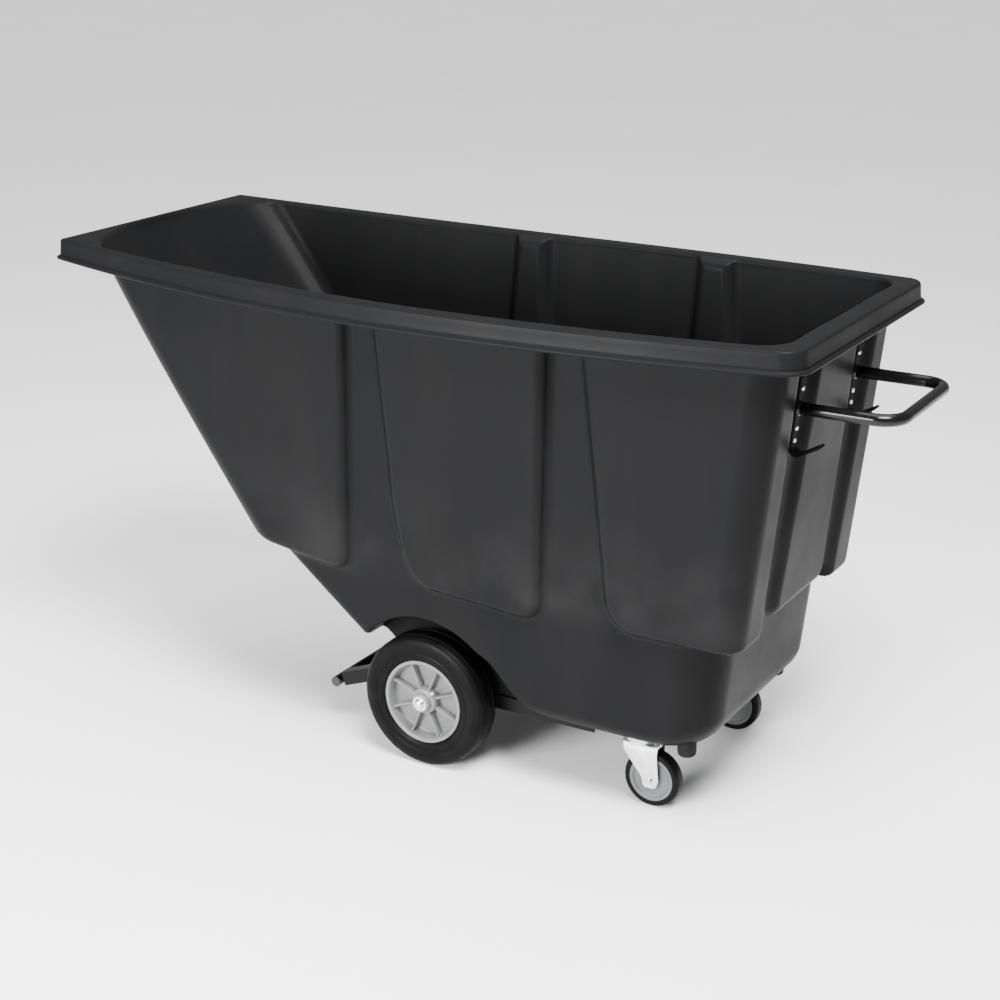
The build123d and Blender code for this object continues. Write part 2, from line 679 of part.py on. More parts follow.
for name, side in SIDES.items():
    y = side * WHEEL_Y
    node("handle_strap_" + name, strap(side * HANDLE_HALF))
    node("rail_" + name, mirrored(rail(), side))
    node("axle_bracket_" + name, mirrored(axle_bracket(), side))
    node("tyre_" + name, tyre(y))
    node("hub_" + name, hub(side))
    node("hub_bushes_" + name, *bushes(y))
    node("grease_fitting_" + name, grease_fitting(side))
    spot = Pos(CASTER_X, side * CASTER_Y, 0)
    node("caster_plate_" + name, spot * caster_plate())
    node("caster_kingpin_" + name, spot * kingpin())
    node("caster_balls_" + name, *[spot * ball for ball in race_balls()])
    node("caster_fork_" + name, spot * fork())
    node("caster_axle_" + name, spot * caster_bolt())
    node("caster_axle_nut_" + name, spot * caster_nut())
    node("caster_core_" + name, spot * caster_core())
    node("caster_bush_" + name, spot * caster_bush())
    node("caster_tread_" + name, spot * caster_tread())

os.makedirs("parts", exist_ok=True)
for name, solids in NODES.items():
    placed = [Pos(EXPORT_SHIFT, 0, 0) * solid for solid in solids]
    shape = placed[0] if len(placed) == 1 else Compound(placed)
    export_step(shape, "parts/" + name + ".step")
print("nodes:", len(NODES), "export shift:", EXPORT_SHIFT)
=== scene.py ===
import json
from itertools import product
from math import atan2, cos, pi, radians, sin

import bpy
import bmesh
import numpy as np
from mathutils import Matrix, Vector


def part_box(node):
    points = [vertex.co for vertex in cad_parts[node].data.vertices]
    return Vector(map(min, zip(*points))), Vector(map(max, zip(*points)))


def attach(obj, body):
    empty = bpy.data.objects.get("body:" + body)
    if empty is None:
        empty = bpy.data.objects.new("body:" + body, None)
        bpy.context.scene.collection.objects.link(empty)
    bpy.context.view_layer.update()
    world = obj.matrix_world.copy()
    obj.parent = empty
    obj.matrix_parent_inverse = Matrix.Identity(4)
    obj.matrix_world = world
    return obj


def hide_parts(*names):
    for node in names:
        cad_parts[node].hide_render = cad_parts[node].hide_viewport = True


# Looks for the plastic tilt truck.  Shapes are worked out in millimetres, in the
# CAD frame (+X to the push handle, +Z up), and turned into metres when a mesh is made.

MM = 0.001
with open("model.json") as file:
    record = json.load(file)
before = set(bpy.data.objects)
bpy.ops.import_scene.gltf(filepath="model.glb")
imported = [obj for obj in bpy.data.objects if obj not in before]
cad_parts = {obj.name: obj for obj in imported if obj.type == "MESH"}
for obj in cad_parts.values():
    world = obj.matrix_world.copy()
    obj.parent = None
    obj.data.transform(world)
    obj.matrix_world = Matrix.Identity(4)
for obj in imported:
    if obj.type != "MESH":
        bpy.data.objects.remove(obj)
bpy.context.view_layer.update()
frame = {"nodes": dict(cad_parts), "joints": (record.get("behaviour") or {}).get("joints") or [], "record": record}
SIDES = {"left": 1, "right": -1}


def box_mm(name):
    low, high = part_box(name)
    return np.array(low) / MM, np.array(high) / MM


def middle(name):
    low, high = box_mm(name)
    return (low + high) / 2


AXLE_X, _, WHEEL_R = middle("axle")
TUB_LOW, TUB_HIGH = box_mm("tub_shell")
WALL = 6.0

# ---- hopper, all x here measured from the main axle ----------------------------
BEAD = 10.0                        # the rolled bead stands this far out of the skirt
LIP_X = TUB_LOW[0] - AXLE_X + BEAD
REAR_X = TUB_HIGH[0] - AXLE_X - BEAD
RIM_LOW_Z = 1060.0
RIM_SAG_X = 50.0
LIP_RISE = 28.0
REAR_RISE = 6.0
RIM_MAX_HALF = TUB_HIGH[1] - BEAD
RIM_BOW_X = 20.0
RIM_BOW = 9.3e-5
RIM_TO_CHANNEL = 62.0
FLOOR_Z = 168.0
BILGE_Z = 212.0
BASE_HALF = 300.0
SIDE_PANEL = 27.0
REAR_PANEL = 17.0
CHUTE_CORNER = 45.0
LOWER_CORNER = 22.0
WELL_R = 195.0
WELL_Y = 222.0
RIB_TOP = 13.0                     # the channels end this far under the rim's top
ARCH_R = 185.0                     # long turn from the wheel arch into the floor
ARCH_END = 346.0
PANEL_EDGE = 14.0                  # rounding of the panels' outer edges
PANEL_FOOT = 12.0                  # and of the corner where they meet the wall
FRONT_SLOPE = 1.2014               # run over rise of the hull's front below the panels
FRONT_X, FRONT_Z = -190.0, 294.0   # a point on that front
REAR_LEAN = 0.108                  # run over rise of the raised rear face
REAR_FACE_X, REAR_FACE_Z = 753.0, 552.0
LOW_REAR_X = 668.0                 # the rear wall under the panels, at the bilge
LOW_REAR_LEAN = 0.103
STEP_LOW_Z, STEP_HIGH_Z = 418.0, 466.0      # between them the two rear walls blend
BILGE_R = 46.0
BILGE_R_MORE = 24.0                # the bilge is rounder at the rear
CORNER_R = 105.0                   # rear corners of the lower hull
PANEL_CORNER_R = 60.0              # and of the raised panels
PANEL_Z = 475.0                    # height near the panels' lower edges, where they are placed
REAR_START_X = 620.0               # the rear wall's panels lie behind this
CHUTE_STEEP = 1.26                 # length of the chute's slope against its height


def rim_half(x):
    return RIM_MAX_HALF - RIM_BOW * (x - RIM_BOW_X) ** 2


def rim_top(x):
    front = LIP_RISE * ((x - RIM_SAG_X) / (LIP_X - RIM_SAG_X)) ** 2
    rear = REAR_RISE * ((x - RIM_SAG_X) / (REAR_X - RIM_SAG_X)) ** 2
    return RIM_LOW_Z + np.where(x < RIM_SAG_X, front, rear)


def both(a, b, radius):
    """Distance to what two shapes share, its edge rounded."""
    u = np.maximum(a + radius, 0.0)
    v = np.maximum(b + radius, 0.0)
    return np.minimum(np.maximum(a, b), -radius) + np.hypot(u, v)


def either(a, b, radius):
    """Distance to two shapes together, the corner between them filled."""
    return -both(-a, -b, radius)


def ease(value, start, end):
    t = np.clip((value - start) / (end - start), 0.0, 1.0)
    return t * t * (3 - 2 * t)


def wall_half(x, z):
    """Half width of the hopper at the floor of its side channels."""
    share = (z - BILGE_Z) / (RIM_LOW_Z - BILGE_Z)
    ledge = RIM_TO_CHANNEL - 12.0 * ease(-x, 450.0, 850.0)
    return BASE_HALF + (rim_half(x) - ledge - BASE_HALF) * share


def rear_face(z):
    return REAR_FACE_X + (z - REAR_FACE_Z) * REAR_LEAN


def lower_front(z):
    return FRONT_X - (z - FRONT_Z) * FRONT_SLOPE


def lower_body(x, y, z, half):
    """The hull without its raised panels."""
    front = (lower_front(z) - x) / np.hypot(1, FRONT_SLOPE)
    corner = (y - half + LOWER_CORNER + lower_front(z) - x) / (2 + FRONT_SLOPE ** 2) ** 0.5
    low_rear = LOW_REAR_X + (z - BILGE_Z) * LOW_REAR_LEAN
    lift = ease(z, STEP_LOW_Z, STEP_HIGH_Z)
    rear = x - (low_rear * (1 - lift) + (rear_face(z) - REAR_PANEL) * lift)
    body = both(y - half, corner, 14.0)
    body = both(body, front, 10.0)
    body = both(body, rear, CORNER_R)
    bilge = BILGE_R + BILGE_R_MORE * ease(x, 520.0, 650.0)
    return both(body, FLOOR_Z - z, bilge)


def panel_hull(x, y, z, half):
    """The hull at the level of its raised panels, the middle of its chute a little dished."""
    corner_x = -440.0 - (z - 455.0) * 0.702
    middle_x = -464.0 - (z - PANEL_Z) * 0.799
    share = np.clip(y / (half + SIDE_PANEL - CHUTE_CORNER), 0.0, 1.15)
    face = middle_x + (corner_x - middle_x) * share ** 2
    stop = LIP_X + 4.0
    past = face - stop
    front = (stop + (past + np.hypot(past, 12.0)) / 2 - x) / CHUTE_STEEP
    corner = (y - half - SIDE_PANEL + CHUTE_CORNER + corner_x - x) / 1.58
    side = y - half - SIDE_PANEL
    body = both(side, corner, 20.0)
    body = both(body, front, 14.0)
    return both(body, x - rear_face(z), PANEL_CORNER_R), side, front


def side_outlines(x, z, side):
    """Distances to the edges of the three side panels, seen square on.

    The edges slope: they run out and drop as they go deeper into the wall.
    """
    depth = np.clip(-side, 0.0, SIDE_PANEL)
    run = depth * 0.42
    drop = depth * 0.3
    first = both(466.0 - 0.141 * (x + 397.0) - drop - z,
                 x + 180.0 - (z - PANEL_Z) * 0.055 - run, 44.0)
    left = -46.0 + 44.0 * np.maximum(0.0, 1 - (z - 440.0) / 260.0) ** 2
    left = left - 0.06 * np.maximum(0.0, z - 700.0)
    right = 298.0 + (z - PANEL_Z) * 0.048
    floor = 434.0 - 0.075 * (x - 70.0) - drop - z
    second = both(floor, left - run - x, 48.0)
    second = both(second, x - right - run, 48.0)
    third = both(433.0 - 0.02 * (x - 552.0) - drop - z,
                 460.0 - (z - PANEL_Z) * 0.088 - run - x, 62.0)
    return first, second, third


def panel_outline(x, y, z, side):
    """Distance to the edges of all the panels; the third one turns the rear corner."""
    first, second, third = side_outlines(x, z, side)
    depth = np.clip(rear_face(z) - x, 0.0, REAR_PANEL)
    run = depth * 0.7
    outer = 194.0 + (z - PANEL_Z) * 0.026 - run
    inner = 128.0 - (z - PANEL_Z) * 0.045 + run
    third = both(third, np.minimum(outer - y, x - REAR_START_X), 14.0)
    centre = both(450.0 - depth * 0.5 - z, y - inner, 26.0)
    centre = np.maximum(centre, REAR_START_X - x)
    pads = np.minimum(np.minimum(first, second), np.minimum(third, centre))
    return np.minimum(pads, rim_top(x) - RIB_TOP - z)


def wheel_well(x, y, z):
    """The round arch over a wheel, led into the floor behind it by a long turn."""
    arch = np.hypot(x, z - WHEEL_R) - WELL_R
    lead = ARCH_R - np.hypot(x - ARCH_END, z - FLOOR_Z - ARCH_R)
    lead = both(lead, (x - 143.0) * 0.455 + (z - 291.0) * 0.89, 20.0)
    lead = np.maximum(lead, np.maximum(x - ARCH_END, 60.0 - x))
    return both(np.minimum(arch, lead), WELL_Y - y, 12.0)


def tub_distance(points):
    """About the distance from the tub's outside surface, negative in the solid."""
    x, y, z = points[..., 0], np.abs(points[..., 1]), points[..., 2]
    half = wall_half(x, z)
    panels, side, front = panel_hull(x, y, z, half)
    body = np.maximum(lower_body(x, y, z, half), front + SIDE_PANEL)
    pads = both(panels, panel_outline(x, y, z, side), PANEL_EDGE)
    body = either(body, pads, PANEL_FOOT)
    return both(body, -wheel_well(x, y, z), 9.0)


def slope_of(function, points, step=0.5):
    """Gradient of a distance at each point."""
    out = np.empty_like(points)
    for axis in range(points.shape[-1]):
        shift = np.zeros(points.shape[-1])
        shift[axis] = step
        out[..., axis] = (function(points + shift) - function(points - shift)) / (2 * step)
    return out


def settle(function, points, reach, rounds=4):
    """Move points onto the zero surface; returns them and their normals."""
    for _ in range(rounds):
        slope = slope_of(function, points)
        size = np.maximum((slope ** 2).sum(-1), 0.05)
        step = slope * (function(points) / size)[..., None]
        length = np.linalg.norm(step, axis=-1, keepdims=True)
        points = points - step * np.minimum(1.0, reach / np.maximum(length, 1e-6))
    slope = slope_of(function, points, 1.5)
    return points, slope / np.maximum(np.linalg.norm(slope, axis=-1, keepdims=True), 1e-6)


def net_points(value, inside):
    """One point in each cell that the surface crosses, in grid units, and its cell's index."""
    cells = tuple(n - 1 for n in inside.shape)
    corners = list(product((0, 1), repeat=3))

    def corner(array, c):
        return array[tuple(slice(o, o + n) for o, n in zip(c, cells))]

    count = sum(corner(inside, c).astype(np.int8) for c in corners)
    active = (count > 0) & (count < len(corners))
    index = np.full(cells, -1)
    index[active] = np.arange(active.sum())
    values = {c: corner(value, c)[active] for c in corners}
    total = np.zeros((active.sum(), 3))
    hits = np.zeros(active.sum())
    for a, axis in product(corners, range(3)):
        if a[axis]:
            continue
        b = tuple(1 if k == axis else v for k, v in enumerate(a))
        crossed = (values[a] < 0) != (values[b] < 0)
        share = values[a] / np.where(crossed, values[a] - values[b], 1.0)
        spot = np.repeat(np.array([a], float), len(hits), 0)
        spot[:, axis] = share
        total += spot * crossed[:, None]
        hits += crossed
    return np.argwhere(active) + total / hits[:, None], index


def net_quads(inside, index):
    """A quad round each grid edge that the surface crosses."""
    quads = []
    for axis in range(3):
        u, v = [k for k in range(3) if k != axis]
        near = [slice(1, -1)] * 3
        far = [slice(1, -1)] * 3
        near[axis] = slice(0, -1)
        far[axis] = slice(1, None)
        a, b = inside[tuple(near)], inside[tuple(far)]
        spots = np.argwhere(a != b)
        spots[:, u] += 1
        spots[:, v] += 1
        outward = a[a != b]
        step_u, step_v = np.eye(3, dtype=int)[u], np.eye(3, dtype=int)[v]
        ring = [spots - step_u - step_v, spots - step_v, spots, spots - step_u]
        face = np.stack([index[tuple(r.T)] for r in ring], 1)
        flip = outward if axis == 1 else ~outward
        face[flip] = face[flip][:, ::-1]
        quads.append(face)
    return np.concatenate(quads)


def surface_net(function, low, high, cell):
    """Even quads over the zero surface of a distance, and the surface's normals."""
    axes = [np.arange(a, b + cell, cell) for a, b in zip(low, high)]
    value = function(np.stack(np.meshgrid(*axes, indexing="ij"), -1))
    inside = value < 0
    points, index = net_points(value, inside)
    points, normals = settle(function, points * cell + np.array(low), cell)
    return points, net_quads(inside, index), normals


def crop(points, quads, normals, depth):
    """Drop the quads that reach above a given depth under the rim's top."""
    low = points[:, 2] < rim_top(points[:, 0]) - depth
    quads = quads[low[quads].all(1)]
    used = np.unique(quads)
    table = np.full(len(points), -1)
    table[used] = np.arange(len(used))
    return points[used], table[quads], normals[used]


# ---- rim ----------------------------------------------------------------------------
RIM_REAR_R = 42.0
LIP_R = 6.0
SKIRT_WALL = 7.0


def rim_distance(points):
    """Plan distance to the skirt's outer face."""
    x, y = points[..., 0], np.abs(points[..., 1])
    side = y - rim_half(x)
    plan = both(side, x - REAR_X, RIM_REAR_R)
    return both(plan, LIP_X - x, LIP_R)


def rim_path():
    """Plan points round the skirt from the lip's middle, one half."""
    front_half, rear_half = rim_half(LIP_X), rim_half(REAR_X)
    front = [(LIP_X, y) for y in np.arange(0, front_half - LIP_R, 2)]
    turn = np.radians(np.arange(0, 90, 15))
    front += [(LIP_X + LIP_R * (1 - cos(t)), front_half - LIP_R * (1 - sin(t))) for t in turn]
    side = [(x, rim_half(x)) for x in np.arange(LIP_X + LIP_R, REAR_X - RIM_REAR_R, 2)]
    turn = np.radians(np.arange(0, 90, 1.7))
    rear = [(REAR_X - RIM_REAR_R * (1 - sin(t)), rear_half - RIM_REAR_R * (1 - cos(t))) for t in turn]
    rear += [(REAR_X, y) for y in np.arange(rear_half - RIM_REAR_R, 0, -2)]
    half, normals = settle(rim_distance, np.array(front + side + rear), 4.0)
    half[0, 1] = 0.0
    half = np.vstack([half, [REAR_X, 0.0]])
    normals = np.vstack([normals, [1.0, 0.0]])
    return half, normals


MARCH_REACH = 180.0
MARCH_STEPS = 120


def march(outer, target, depth, level):
    """Where the line from the skirt to the middle meets a wall surface."""
    def at(share):
        plan = outer + (target - outer) * share[:, None]
        z = rim_top(plan[:, 0]) - depth
        return np.column_stack([plan, z])

    reach = MARCH_REACH / np.linalg.norm(target - outer, axis=1)
    found = reach.copy()
    waiting = np.ones(len(outer), bool)
    for k in range(1, MARCH_STEPS):
        share = reach * k / MARCH_STEPS
        hit = waiting & (tub_distance(at(share)) < level)
        found[hit] = share[hit]
        waiting &= ~hit
    low = found - reach / MARCH_STEPS
    for _ in range(9):
        mid = (low + found) / 2
        hit = tub_distance(at(mid)) < level
        found = np.where(hit, mid, found)
        low = np.where(hit, low, mid)
    return at(found)


def curve(a, b, c, steps):
    """Points of a smooth turn from a to c, with its corner at b."""
    out = []
    for t in np.linspace(0, 1, steps):
        out.append((1 - t) ** 2 * a + 2 * t * (1 - t) * b + t ** 2 * c)
    return out


def rim_stations():
    """Points round the skirt, close together where it or the inner edge turns."""
    outer, normal = rim_path()
    target = np.column_stack([np.clip(outer[:, 0], -690.0, 590.0), np.zeros(len(outer))])
    edge = march(outer, target, 0.0, -WALL)
    run = np.linalg.norm(np.diff(edge[:, :2], axis=0), axis=1)
    cost = np.linalg.norm(np.diff(outer, axis=0), axis=1) / 8 + run / 5
    turn = np.linalg.norm(np.diff(normal, axis=0), axis=1) / radians(3.5)
    total = np.concatenate([[0], np.cumsum(cost + turn)])
    keep = np.searchsorted(total, np.linspace(0, total[-1], int(total[-1])))
    keep = np.unique(np.clip(keep, 0, len(outer) - 1))
    return outer[keep], normal[keep], target[keep]


def rim_inner_rows(outer, target):
    """Rows up the inside of the wall, over its rounded edge and onto the rim's flat top."""
    edge = march(outer, target, 0.0, -WALL)
    slope = slope_of(tub_distance, edge)
    slope[:, 2] = 0
    away = slope / np.linalg.norm(slope, axis=1, keepdims=True)
    width = np.linalg.norm(edge[:, :2] - outer, axis=1)
    soft = np.minimum(9.0, width * 0.45)[:, None]
    rows = []
    for depth, shift in ((19.0, 0.6), (15.0, 0.35), (11.5, 0.1), (8.6, -0.12)):
        rows.append(march(outer, target, depth, -WALL) + away * shift)
    top_in = edge + away * soft
    top_in[:, 2] = rim_top(top_in[:, 0])
    inset = away * 0.15
    rows += curve(march(outer, target, 7.0, -WALL) - inset, edge - inset, top_in, 7)
    return rows


def rim_skirt_rows(outer, normal, top_in):
    """Rows across the top, down the skirt, round the bead and back up inside it."""
    def skirt(out, depth):
        plan = outer + normal * out
        return np.column_stack([plan, rim_top(outer[:, 0]) - depth])

    rows = []
    top_out = skirt(-6.5, 0.0)
    for share in (0.33, 0.66):
        flat = top_in * (1 - share) + top_out * share
        flat[:, 2] = rim_top(flat[:, 0])
        rows.append(flat)
    rows += curve(top_out, skirt(-1.0, 0.0), skirt(-0.4, 7.5), 6)
    for out, depth in ((0.0, 15.0), (0.7, 24.0), (1.6, 31.0), (2.2, 35.5), (1.4, 37.2)):
        rows.append(skirt(out, depth))
    for k in range(9):
        bend = radians(-70 + 31.25 * k)
        rows.append(skirt(5.6 + 4.4 * cos(bend), 41.7 + 4.3 * sin(bend)))
    back = ((0.0, 46.0), (1.5 - SKIRT_WALL, 45.0), (-SKIRT_WALL, 43.0), (-SKIRT_WALL, 16.0),
            (-SKIRT_WALL - 1.5, 10.0), (-SKIRT_WALL - 6.0, 7.6))
    return rows + [skirt(out, depth) for out, depth in back]


def rim_mesh():
    """The rim as one strip of quads, from the inner wall round to the outer wall."""
    outer, normal, target = rim_stations()
    rows = rim_inner_rows(outer, target)
    rows += rim_skirt_rows(outer, normal, rows[-1])
    rows.append(march(outer, target, 7.0, -2.0))
    rings = []
    for row in rows:
        other = row[1:-1][::-1] * np.array([1, -1, 1])
        rings.append(np.vstack([row, other]))
    count = len(rings[0])
    quads = []
    around = np.arange(count)
    for k in range(len(rings) - 1):
        a, b = k * count + around, k * count + (around + 1) % count
        quads.append(np.column_stack([a, b, b + count, a + count]))
    return np.vstack(rings), np.vstack(quads)


# ---- mesh helpers ---------------------------------------------------------------------
def new_piece(name, points, faces, body, slot, material, smooth=True, weld=False):
    """A mesh object from millimetre points, on a CAD body."""
    mesh = bpy.data.meshes.new(name)
    mesh.from_pydata((np.asarray(points, float) * MM).tolist(), [], [list(f) for f in faces])
    mesh.materials.append(material)
    piece = bpy.data.objects.new(name, mesh)
    bpy.context.scene.collection.objects.link(piece)
    for polygon in mesh.polygons:
        polygon.use_smooth = smooth
    if weld:
        clean(mesh)
    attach(piece, body)
    return piece


def clean(mesh):
    work = bmesh.new()
    work.from_mesh(mesh)
    bmesh.ops.remove_doubles(work, verts=work.verts, dist=1e-5)
    bmesh.ops.recalc_face_normals(work, faces=work.faces)
    work.to_mesh(mesh)
    work.free()


def crease(piece, angle=35):
    """Hard edges where faces meet at more than the angle."""
    mesh = piece.data
    work = bmesh.new()
    work.from_mesh(mesh)
    for edge in work.edges:
        if len(edge.link_faces) == 2:
            edge.smooth = edge.calc_face_angle(0) < radians(angle)
    work.to_mesh(mesh)
    work.free()


def soften(piece, width, segments=3, angle=35):
    """Round a piece's sharp edges for good."""
    bevel = piece.modifiers.new("edges", "BEVEL")
    bevel.width = width * MM
    bevel.segments = segments
    bevel.limit_method = "ANGLE"
    bevel.angle_limit = radians(angle)
    bevel.harden_normals = False
    graph = bpy.context.evaluated_depsgraph_get()
    result = bpy.data.meshes.new_from_object(piece.evaluated_get(graph))
    piece.modifiers.clear()
    piece.data = result
    for polygon in result.polygons:
        polygon.use_smooth = True
    crease(piece, 40)


def basis(axis):
    """Two directions square to an axis."""
    axis = np.array(axis, float) / np.linalg.norm(axis)
    helper = np.array([0.0, 0, 1]) if abs(axis[2]) < 0.9 else np.array([1.0, 0, 0])
    u = np.cross(helper, axis)
    u /= np.linalg.norm(u)
    return u, np.cross(axis, u), axis


def lathe(profile, centre, axis, steps=96):
    """Points and faces of a profile of (radius, along) turned about an axis."""
    u, v, w = basis(axis)
    points, faces = [], []
    for radius, along in profile:
        for k in range(steps):
            turn = 2 * pi * k / steps
            points.append(np.array(centre) + w * along + radius * (u * cos(turn) + v * sin(turn)))
    for row in range(len(profile) - 1):
        for k in range(steps):
            a, b = row * steps + k, row * steps + (k + 1) % steps
            faces.append((a, b, b + steps, a + steps))
    return points, faces


def join_parts(parts):
    points, faces = [], []
    for more, polygons in parts:
        shift = len(points)
        points += list(more)
        faces += [tuple(i + shift for i in f) for f in polygons]
    return points, faces


def rounded_profile(points, radius, steps=4):
    """A polyline with its inner corners rounded."""
    points = [np.array(p, float) for p in points]
    out = [points[0]]
    for before, here, after in zip(points, points[1:], points[2:]):
        back, ahead = before - here, after - here
        reach = min(radius, np.linalg.norm(back) * 0.45, np.linalg.norm(ahead) * 0.45)
        start = here + back / np.linalg.norm(back) * reach
        end = here + ahead / np.linalg.norm(ahead) * reach
        out += curve(start, here, end, steps)
    return out + [points[-1]]


def prism(outline, low, high, place):
    """A flat plate from a closed outline; place(a, b, c) gives a 3-D point."""
    count = len(outline)
    points = [place(a, b, low) for a, b in outline] + [place(a, b, high) for a, b in outline]
    faces = [tuple(range(count)), tuple(range(2 * count - 1, count - 1, -1))]
    for k in range(count):
        n = (k + 1) % count
        faces.append((k, k + count, n + count, n))
    return points, faces


def tube(path, radius, steps=28):
    """A round bar swept along a line of points, with flat ends."""
    path = [np.array(p, float) for p in path]
    tangents = []
    for k in range(len(path)):
        t = path[min(k + 1, len(path) - 1)] - path[max(k - 1, 0)]
        tangents.append(t / np.linalg.norm(t))
    u, v, _ = basis(tangents[0])
    points, faces = [], []
    for here, t in zip(path, tangents):
        u = u - t * (u @ t)
        u /= np.linalg.norm(u)
        v = np.cross(t, u)
        for k in range(steps):
            turn = 2 * pi * k / steps
            points.append(here + radius * (u * cos(turn) + v * sin(turn)))
    for row in range(len(path) - 1):
        for k in range(steps):
            a, b = row * steps + k, row * steps + (k + 1) % steps
            faces.append((a, b, b + steps, a + steps))
    faces.append(tuple(range(steps))[::-1])
    faces.append(tuple(range(len(points) - steps, len(points))))
    return points, faces


# ---- materials --------------------------------------------------------------------------
class Paint:
    """A node material built step by step round one Principled shader."""

    def __init__(self, name, color, roughness, metallic=0.0, ior=1.5):
        self.material = bpy.data.materials.new(name)
        self.material.use_nodes = True
        self.nodes = self.material.node_tree.nodes
        self.links = self.material.node_tree.links
        self.shader = self.nodes["Principled BSDF"]
        self.set("Base Color", (*color, 1))
        self.set("Roughness", roughness)
        self.set("Metallic", metallic)
        self.set("IOR", ior)
        self.place = self.nodes.new("ShaderNodeTexCoord").outputs["Object"]
        self.height = None

    def set(self, socket, value):
        self.shader.inputs[socket].default_value = value

    def noise(self, scale, detail=3.0, stretch=(1, 1, 1), rough=0.55):
        mapping = self.nodes.new("ShaderNodeMapping")
        mapping.inputs["Scale"].default_value = stretch
        self.links.new(self.place, mapping.inputs["Vector"])
        noise = self.nodes.new("ShaderNodeTexNoise")
        noise.inputs["Scale"].default_value = scale
        noise.inputs["Detail"].default_value = detail
        noise.inputs["Roughness"].default_value = rough
        self.links.new(mapping.outputs["Vector"], noise.inputs["Vector"])
        return noise.outputs["Fac"]

    def ramp(self, factor, low, high, start=0.0, end=1.0):
        node = self.nodes.new("ShaderNodeMapRange")
        node.interpolation_type = "SMOOTHSTEP"
        node.inputs["From Min"].default_value = low
        node.inputs["From Max"].default_value = high
        node.inputs["To Min"].default_value = start
        node.inputs["To Max"].default_value = end
        self.links.new(factor, node.inputs["Value"])
        return node.outputs["Result"]

    def math(self, kind, a, b):
        node = self.nodes.new("ShaderNodeMath")
        node.operation = kind
        for socket, value in zip(node.inputs, (a, b)):
            if isinstance(value, (int, float)):
                socket.default_value = value
            else:
                self.links.new(value, socket)
        return node.outputs[0]

    def axis(self, letter):
        node = self.nodes.new("ShaderNodeSeparateXYZ")
        self.links.new(self.place, node.inputs[0])
        return node.outputs[letter]

    def blend(self, factor, other):
        """Turn the colour towards another where the factor is high."""
        mix = self.nodes.new("ShaderNodeMix")
        mix.data_type = "RGBA"
        base = self.shader.inputs["Base Color"]
        if base.is_linked:
            self.links.new(base.links[0].from_socket, mix.inputs["A"])
        else:
            mix.inputs["A"].default_value = base.default_value
        mix.inputs["B"].default_value = (*other, 1)
        self.links.new(factor, mix.inputs["Factor"])
        self.links.new(mix.outputs["Result"], base)
        return self

    def rough(self, factor):
        self.links.new(factor, self.shader.inputs["Roughness"])
        return self

    def bump(self, factor, strength, distance):
        node = self.nodes.new("ShaderNodeBump")
        node.inputs["Strength"].default_value = strength
        node.inputs["Distance"].default_value = distance
        self.links.new(factor, node.inputs["Height"])
        if self.height is not None:
            self.links.new(self.height, node.inputs["Normal"])
        self.height = node.outputs["Normal"]
        self.links.new(self.height, self.shader.inputs["Normal"])
        return self


def tub_paint():
    """Black moulded polyethylene: satin and dusty, with a painted sheen low on the panels, a lighter band of
    colour that stands in for light caught above their lower edges.
    """
    paint = Paint("tub_plastic", (0.0056, 0.0057, 0.0060), 0.35, ior=1.10)
    cloudy = paint.noise(5.0, 4.0)
    streaks = paint.noise(9.0, 4.0, (1.0, 1.0, 0.16))
    dust = paint.math("MULTIPLY", paint.ramp(streaks, 0.42, 0.72), 0.35)
    paint.blend(dust, (0.008, 0.008, 0.0083))
    height = paint.axis("Z")
    # painted highlight: lighter colour in a band from just above the panels' lower edges, fading out higher up,
    # patchy with the cloudy noise
    painted_sheen = paint.math("MULTIPLY", paint.ramp(height, 0.40, 0.47), paint.ramp(height, 0.72, 0.46))
    painted_sheen = paint.math("MULTIPLY", painted_sheen, paint.ramp(cloudy, 0.35, 0.7))
    paint.blend(paint.math("MULTIPLY", painted_sheen, 0.5), (0.016, 0.016, 0.0165))
    scuff = paint.noise(70.0, 6.0, (1.0, 1.0, 0.35), 0.7)
    paint.blend(paint.math("MULTIPLY", paint.ramp(scuff, 0.62, 0.78), 0.2), (0.018, 0.018, 0.0185))
    paint.rough(paint.ramp(cloudy, 0.25, 0.75, 0.31, 0.44))
    paint.bump(paint.noise(2.6, 2.0), 0.25, 0.004)
    paint.bump(paint.noise(420.0, 2.0), 0.10, 0.0006)
    return paint.material


def coat_paint(name, color, roughness, ior=1.3):
    paint = Paint(name, color, roughness, ior=ior)
    paint.rough(paint.ramp(paint.noise(14.0), 0.3, 0.7, roughness * 0.85, roughness * 1.2))
    paint.blend(paint.math("MULTIPLY", paint.ramp(paint.noise(60.0, 5.0), 0.6, 0.8), 0.3),
                tuple(c * 2.2 for c in color))
    paint.bump(paint.noise(300.0, 2.0), 0.12, 0.0005)
    return paint.material


def metal_paint(name, color, roughness, dull=0.75):
    paint = Paint(name, color, roughness, metallic=1.0)
    cloud = paint.noise(40.0, 5.0)
    paint.blend(paint.ramp(cloud, 0.3, 0.75), tuple(c * dull for c in color))
    paint.rough(paint.ramp(paint.noise(90.0, 4.0), 0.3, 0.7, roughness * 0.8, roughness * 1.35))
    paint.bump(paint.noise(700.0, 2.0), 0.10, 0.0003)
    return paint.material


def rubber_paint(name, color, roughness):
    paint = Paint(name, color, roughness, ior=1.12)
    paint.blend(paint.ramp(paint.noise(18.0, 5.0), 0.45, 0.8), tuple(c * 1.9 for c in color))
    paint.rough(paint.ramp(paint.noise(30.0), 0.3, 0.7, roughness * 0.85, roughness * 1.12))
    paint.bump(paint.noise(650.0, 3.0), 0.2, 0.0005)
    return paint.material


